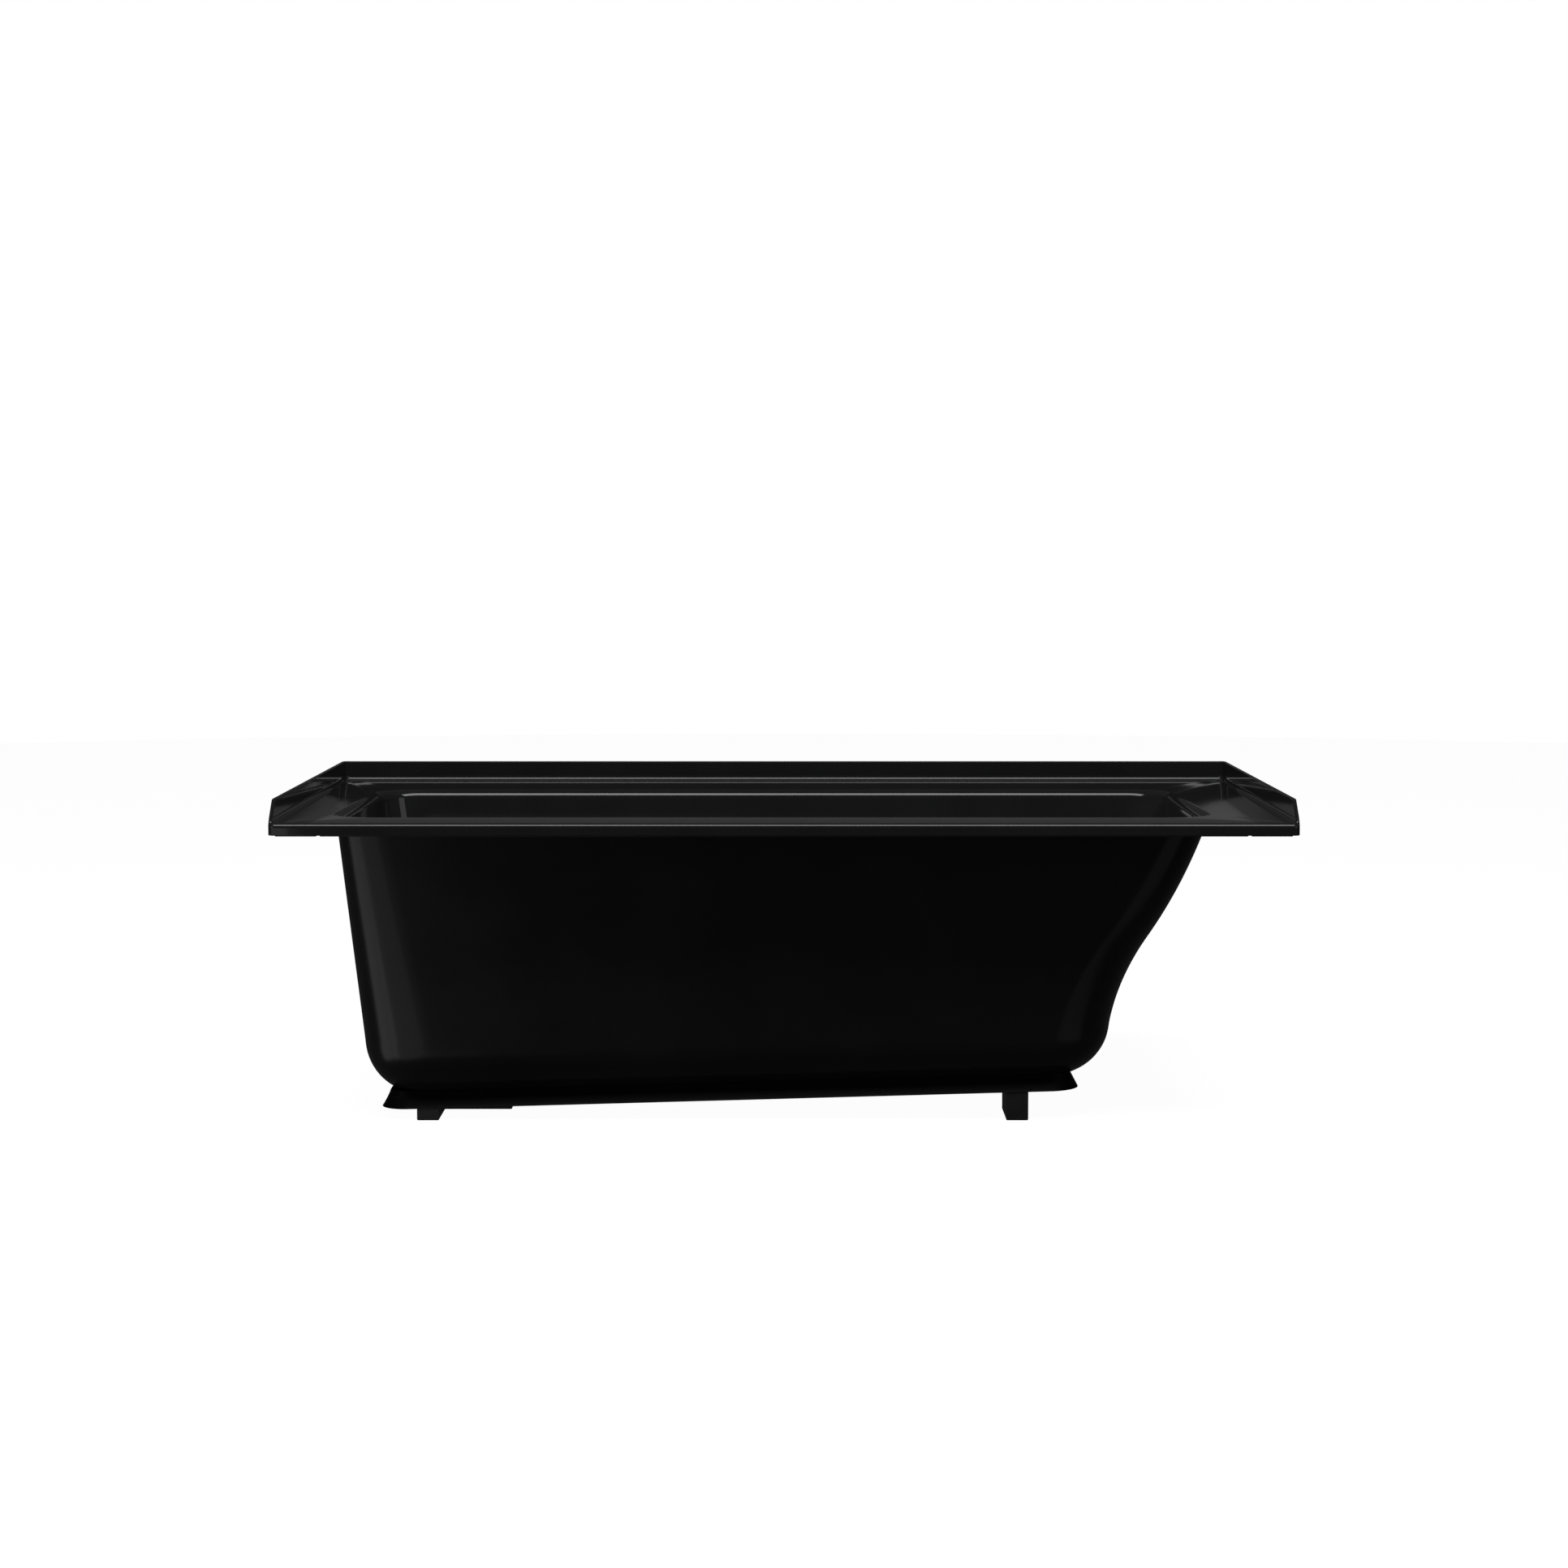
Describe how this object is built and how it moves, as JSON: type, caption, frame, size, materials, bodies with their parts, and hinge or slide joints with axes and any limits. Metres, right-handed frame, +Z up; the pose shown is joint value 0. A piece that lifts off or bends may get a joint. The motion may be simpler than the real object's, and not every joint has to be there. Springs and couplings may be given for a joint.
{
  "type": "alcove bathtub",
  "caption": "Black gloss three-wall alcove bath with a tile flange, level front ledge, sloped backrest, base board on feet, toe-touch drain stopper and overflow.",
  "frame": {"origin": "on the floor, under the middle of the rim's outline", "axes": "+X along the bath from the drain end to the backrest end, +Y across it from the open front ledge to the long wall flange, +Z up"},
  "size_m": [1.524, 0.813, 0.508],
  "materials": {
    "gloss_acrylic": "jet black, mirror gloss",
    "glass_fibre_laminate": "black resin over glass mat, smooth and glossy",
    "plywood": "birch plywood brushed over with black resin",
    "coated_board": "particle board sealed in black resin",
    "skirt_resin": "black laminating resin, glossy",
    "foot_block": "black, satin",
    "zinc_plated_steel": "bright zinc",
    "chrome_trim": "polished chrome plate",
    "sealant": "cured silicone, satin",
    "black_rubber": "moulded rubber, matt",
    "raw_brass": "machined brass",
    "white_acetal": "white acetal, satin",
    "waste_plastic": "black moulded plastic"
  },
  "bodies": {
    "bath": {"bath_shell": "gloss_acrylic", "laminate_shell": "glass_fibre_laminate", "front_batten": "plywood", "back_batten": "plywood", "drain_end_batten": "plywood", "backrest_end_batten": "plywood", "base_board": "coated_board", "base_skirt": "skirt_resin", "levelling_plate": "coated_board", "front_drain_foot": "foot_block", "back_drain_foot": "foot_block", "front_backrest_foot": "foot_block", "back_backrest_foot": "foot_block", "foot_screws": "zinc_plated_steel", "strainer_body": "chrome_trim", "strainer_sealant": "sealant", "drain_washer": "black_rubber", "drain_locknut": "raw_brass", "stopper_sleeve": "white_acetal", "overflow_cover": "chrome_trim", "overflow_screw": "chrome_trim", "overflow_gasket": "black_rubber", "overflow_body": "waste_plastic"},
    "stopper": {"stopper_cap": "chrome_trim", "stopper_seal": "black_rubber", "stopper_stem": "raw_brass"}
  },
  "joints": [
    {"name": "stopper_lift", "type": "slide", "parent": "bath", "child": "stopper", "axis": [0, 0, 1], "range_m": [0, 0.01]}
  ]
}
